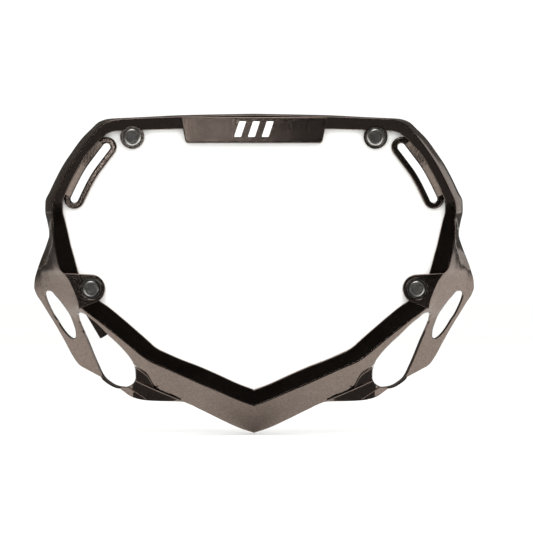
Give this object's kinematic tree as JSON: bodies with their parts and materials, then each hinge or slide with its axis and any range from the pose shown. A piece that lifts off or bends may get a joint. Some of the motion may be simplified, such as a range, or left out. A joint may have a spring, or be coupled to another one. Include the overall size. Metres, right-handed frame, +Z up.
{
  "type": "race number plate",
  "caption": "Moulded race number plate surround with swept-back wings, chin, strap slots, a flat number insert and screws with washers and lock nuts.",
  "frame": {"origin": "middle of the whole plate's box", "axes": "+X to the right across the plate as seen from the front, +Z up, the front faces -Y"},
  "size_m": [0.259, 0.0306, 0.1866],
  "materials": {
    "plated_abs": "black chrome plated ABS, mirror gloss",
    "insert_sheet": "white polypropylene sheet, fine matt grain",
    "white_print": "white pad-printed mark",
    "zinc_steel": "bright zinc plated steel",
    "nylon_ring": "blue nylon"
  },
  "bodies": {
    "plate": {"front_frame": "plated_abs", "number_insert": "insert_sheet", "header_marks": "white_print", "back_washer_top_left": "zinc_steel", "back_washer_top_right": "zinc_steel", "back_washer_low_left": "zinc_steel", "back_washer_low_right": "zinc_steel", "lock_nut_top_left": "zinc_steel", "lock_nut_top_right": "zinc_steel", "lock_nut_low_left": "zinc_steel", "lock_nut_low_right": "zinc_steel", "lock_ring_top_left": "nylon_ring", "lock_ring_top_right": "nylon_ring", "lock_ring_low_left": "nylon_ring", "lock_ring_low_right": "nylon_ring"},
    "washer_top_left": {"washer_top_left": "zinc_steel"},
    "screw_top_left": {"screw_top_left": "zinc_steel"},
    "washer_top_right": {"washer_top_right": "zinc_steel"},
    "screw_top_right": {"screw_top_right": "zinc_steel"},
    "washer_low_left": {"washer_low_left": "zinc_steel"},
    "screw_low_left": {"screw_low_left": "zinc_steel"},
    "washer_low_right": {"washer_low_right": "zinc_steel"},
    "screw_low_right": {"screw_low_right": "zinc_steel"}
  },
  "joints": [
    {"name": "screw_top_left_travel", "type": "slide", "parent": "plate", "child": "washer_top_left", "axis": [0, -1, 0], "range_m": [0, 0.006]},
    {"name": "screw_top_left_turn", "type": "hinge", "parent": "washer_top_left", "child": "screw_top_left", "pos_m": [-0.0707, 0, 0.0795], "axis": [0, -1, 0], "range_deg": [0, 2160]},
    {"name": "screw_top_right_travel", "type": "slide", "parent": "plate", "child": "washer_top_right", "axis": [0, -1, 0], "range_m": [0, 0.006]},
    {"name": "screw_top_right_turn", "type": "hinge", "parent": "washer_top_right", "child": "screw_top_right", "pos_m": [0.0707, 0, 0.0795], "axis": [0, -1, 0], "range_deg": [0, 2160]},
    {"name": "screw_low_left_travel", "type": "slide", "parent": "plate", "child": "washer_low_left", "axis": [0, -1, 0], "range_m": [0, 0.006]},
    {"name": "screw_low_left_turn", "type": "hinge", "parent": "washer_low_left", "child": "screw_low_left", "pos_m": [-0.0946, 0, -0.0087], "axis": [0, -1, 0], "range_deg": [0, 2160]},
    {"name": "screw_low_right_travel", "type": "slide", "parent": "plate", "child": "washer_low_right", "axis": [0, -1, 0], "range_m": [0, 0.006]},
    {"name": "screw_low_right_turn", "type": "hinge", "parent": "washer_low_right", "child": "screw_low_right", "pos_m": [0.0946, 0, -0.0087], "axis": [0, -1, 0], "range_deg": [0, 2160]}
  ],
  "couplings": [
    {"joint": "screw_top_left_turn", "follows": "screw_top_left_travel", "rad_per_m": 6283.2},
    {"joint": "screw_top_right_turn", "follows": "screw_top_right_travel", "rad_per_m": 6283.2},
    {"joint": "screw_low_left_turn", "follows": "screw_low_left_travel", "rad_per_m": 6283.2},
    {"joint": "screw_low_right_turn", "follows": "screw_low_right_travel", "rad_per_m": 6283.2}
  ]
}
